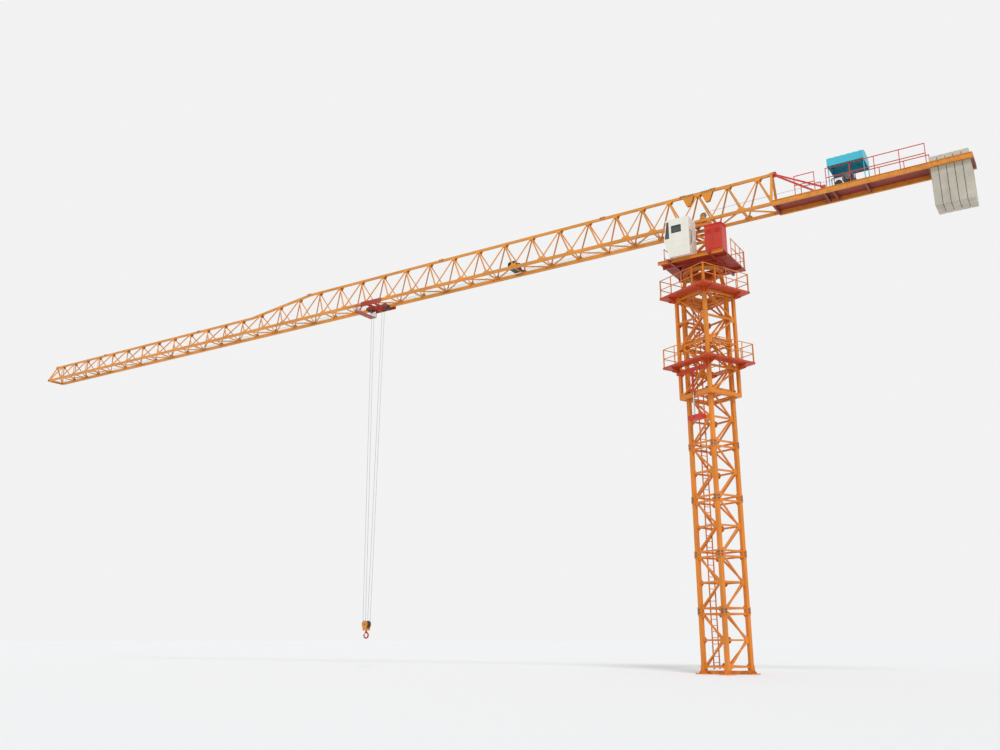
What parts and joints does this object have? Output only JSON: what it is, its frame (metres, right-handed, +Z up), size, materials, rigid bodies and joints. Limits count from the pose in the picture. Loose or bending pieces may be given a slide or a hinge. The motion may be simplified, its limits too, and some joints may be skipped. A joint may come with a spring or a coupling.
{
  "type": "half-size model of a flat-top tower crane",
  "caption": "Flat-top tower crane at half size: lattice mast with climbing cage, slewing cab and jib, travelling trolley with hook, and counter-jib with concrete slabs.",
  "frame": {"origin": "centre of the underside of the base frame, on the mast's axis", "axes": "+Z up; the jib points along -X and the counter-jib along +X; the cab is on the -Y side; the mast is turned 25 degrees from the jib"},
  "size_m": [37.6153, 2.2924, 13.05],
  "materials": {
    "yellow_paint": "semi-gloss paint",
    "red_paint": "semi-gloss paint",
    "dark_red_paint": "worn semi-gloss paint",
    "white_paint": "gloss paint",
    "black_paint": "satin paint",
    "bare_steel": "oiled",
    "concrete": "cast concrete",
    "glass": "tinted",
    "turquoise_sheet": "satin paint"
  },
  "bodies": {
    "mast": {"base_frame": "yellow_paint", "mast_section_1": "yellow_paint", "mast_section_2": "yellow_paint", "mast_section_3": "yellow_paint", "mast_section_4": "yellow_paint", "mast_section_5": "yellow_paint", "mast_section_6": "yellow_paint", "mast_section_7": "yellow_paint", "mast_ladder": "yellow_paint", "climbing_cage": "yellow_paint", "cage_walkways": "dark_red_paint", "cage_railings": "yellow_paint", "climbing_ram": "red_paint", "slewing_support": "yellow_paint"},
    "upper": {"turntable": "dark_red_paint", "turntable_walkway": "dark_red_paint", "turntable_railing": "yellow_paint", "slewing_motors": "black_paint", "slewing_tower": "yellow_paint", "cab_shell": "white_paint", "cab_windows": "glass", "cab_door": "white_paint", "control_cabinet": "red_paint", "jib_head": "yellow_paint", "jib_section_1": "yellow_paint", "jib_section_2": "yellow_paint", "jib_section_3": "yellow_paint", "jib_section_4": "yellow_paint", "jib_section_5": "yellow_paint", "jib_section_6": "yellow_paint", "jib_end_frame": "yellow_paint", "jib_ropes": "bare_steel", "trolley_winch": "black_paint", "counter_jib_root": "yellow_paint", "counter_jib_ties": "red_paint", "counter_jib_deck": "dark_red_paint", "counter_jib_railing": "red_paint", "hoist_winch": "black_paint", "hoist_drum": "bare_steel", "winch_cover": "turquoise_sheet", "counterweights": "concrete"},
    "trolley": {"trolley_frame": "dark_red_paint", "trolley_wheels": "bare_steel", "trolley_sheaves": "bare_steel", "hoist_falls": "bare_steel"},
    "hook_block": {"hook_block": "yellow_paint", "hook_sheaves": "bare_steel"},
    "hook": {"hook": "red_paint"}
  },
  "joints": [
    {"name": "slew", "type": "hinge", "parent": "mast", "child": "upper", "pos_m": [0, 0, 0], "axis": [0, 0, 1], "continuous": true},
    {"name": "trolley_travel", "type": "slide", "parent": "upper", "child": "trolley", "axis": [-1, 0, 0], "range_m": [-9.8, 17.9]},
    {"name": "hook_hoist", "type": "slide", "parent": "trolley", "child": "hook_block", "axis": [0, 0, 1], "range_m": [0, 9.9], "deforming": ["hoist_falls"]},
    {"name": "hook_swivel", "type": "hinge", "parent": "hook_block", "child": "hook", "pos_m": [-11.7, 0, 1.1], "axis": [0, 0, 1], "continuous": true}
  ]
}
